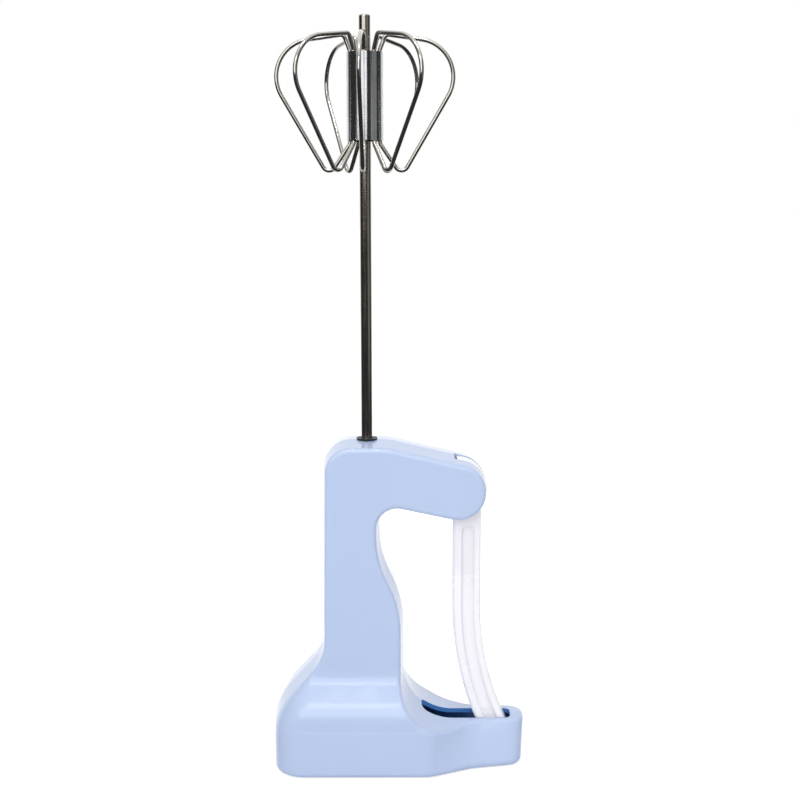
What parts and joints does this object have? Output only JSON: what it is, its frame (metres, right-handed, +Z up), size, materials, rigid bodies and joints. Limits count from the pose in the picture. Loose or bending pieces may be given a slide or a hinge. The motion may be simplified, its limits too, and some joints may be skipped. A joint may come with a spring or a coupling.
{
  "type": "squeeze-lever hand whisk",
  "caption": "Hand whisk that stands on its moulded handle; squeezing the long side lever turns a steel shaft with a head of wire loops through a rack and crown gear.",
  "frame": {"origin": "on the whisk shaft's axis, in the plane that the base rests on", "axes": "+Z up along the whisk shaft, +X from the column towards the lever, +Y to the screw side; the mould's parting plane is Y = 0"},
  "size_m": [0.1137, 0.077, 0.3298],
  "materials": {
    "housing_plastic": "moulded ABS, pale blue, satin gloss",
    "lever_plastic": "moulded ABS, white, satin gloss",
    "gear_plastic": "moulded acetal, natural white",
    "bush_plastic": "moulded nylon, dark grey",
    "shaft_steel": "drawn stainless rod",
    "wire_steel": "polished stainless wire",
    "sleeve_steel": "polished stainless tube",
    "hub_steel": "machined, satin",
    "pin_steel": "ground steel pin",
    "spring_steel": "spring steel wire",
    "screw_steel": "zinc-plated cross-head screws"
  },
  "bodies": {
    "housing": {"housing_front": "housing_plastic", "housing_rear": "housing_plastic", "housing_screws": "screw_steel", "lever_pivot_pin": "pin_steel", "gear_axle": "pin_steel", "upper_bush": "bush_plastic", "lower_bush": "bush_plastic", "return_spring": "spring_steel"},
    "lever": {"lever": "lever_plastic"},
    "crown": {"crown_gear": "gear_plastic"},
    "whisk": {"whisk_shaft": "shaft_steel", "shaft_pinion": "gear_plastic", "shaft_clip": "spring_steel", "whisk_hub": "hub_steel", "whisk_sleeve": "sleeve_steel", "whisk_loop_1": "wire_steel", "whisk_loop_2": "wire_steel", "whisk_loop_3": "wire_steel", "whisk_loop_4": "wire_steel", "whisk_loop_5": "wire_steel", "whisk_loop_6": "wire_steel", "whisk_loop_7": "wire_steel", "whisk_loop_8": "wire_steel"}
  },
  "joints": [
    {"name": "whisk_spin", "type": "hinge", "parent": "housing", "child": "whisk", "pos_m": [0, 0, 0.2], "axis": [0, 0, -1], "range_deg": [0, 1021.5]},
    {"name": "lever_squeeze", "type": "hinge", "parent": "housing", "child": "lever", "pos_m": [0.0401, -0.0016, 0.1268], "axis": [0, 1, 0], "range_deg": [0, 12], "stiffness_Nm_per_rad": 2, "springref_deg": -8.59, "deforming": ["return_spring"]},
    {"name": "crown_spin", "type": "hinge", "parent": "housing", "child": "crown", "pos_m": [0, 0.0015, 0.02598], "axis": [0, 1, 0], "range_deg": [0, 272.5]}
  ],
  "couplings": [
    {"joint": "lever_squeeze", "follows": "whisk_spin", "ratio": 0.011747},
    {"joint": "crown_spin", "follows": "whisk_spin", "ratio": 0.26667}
  ]
}
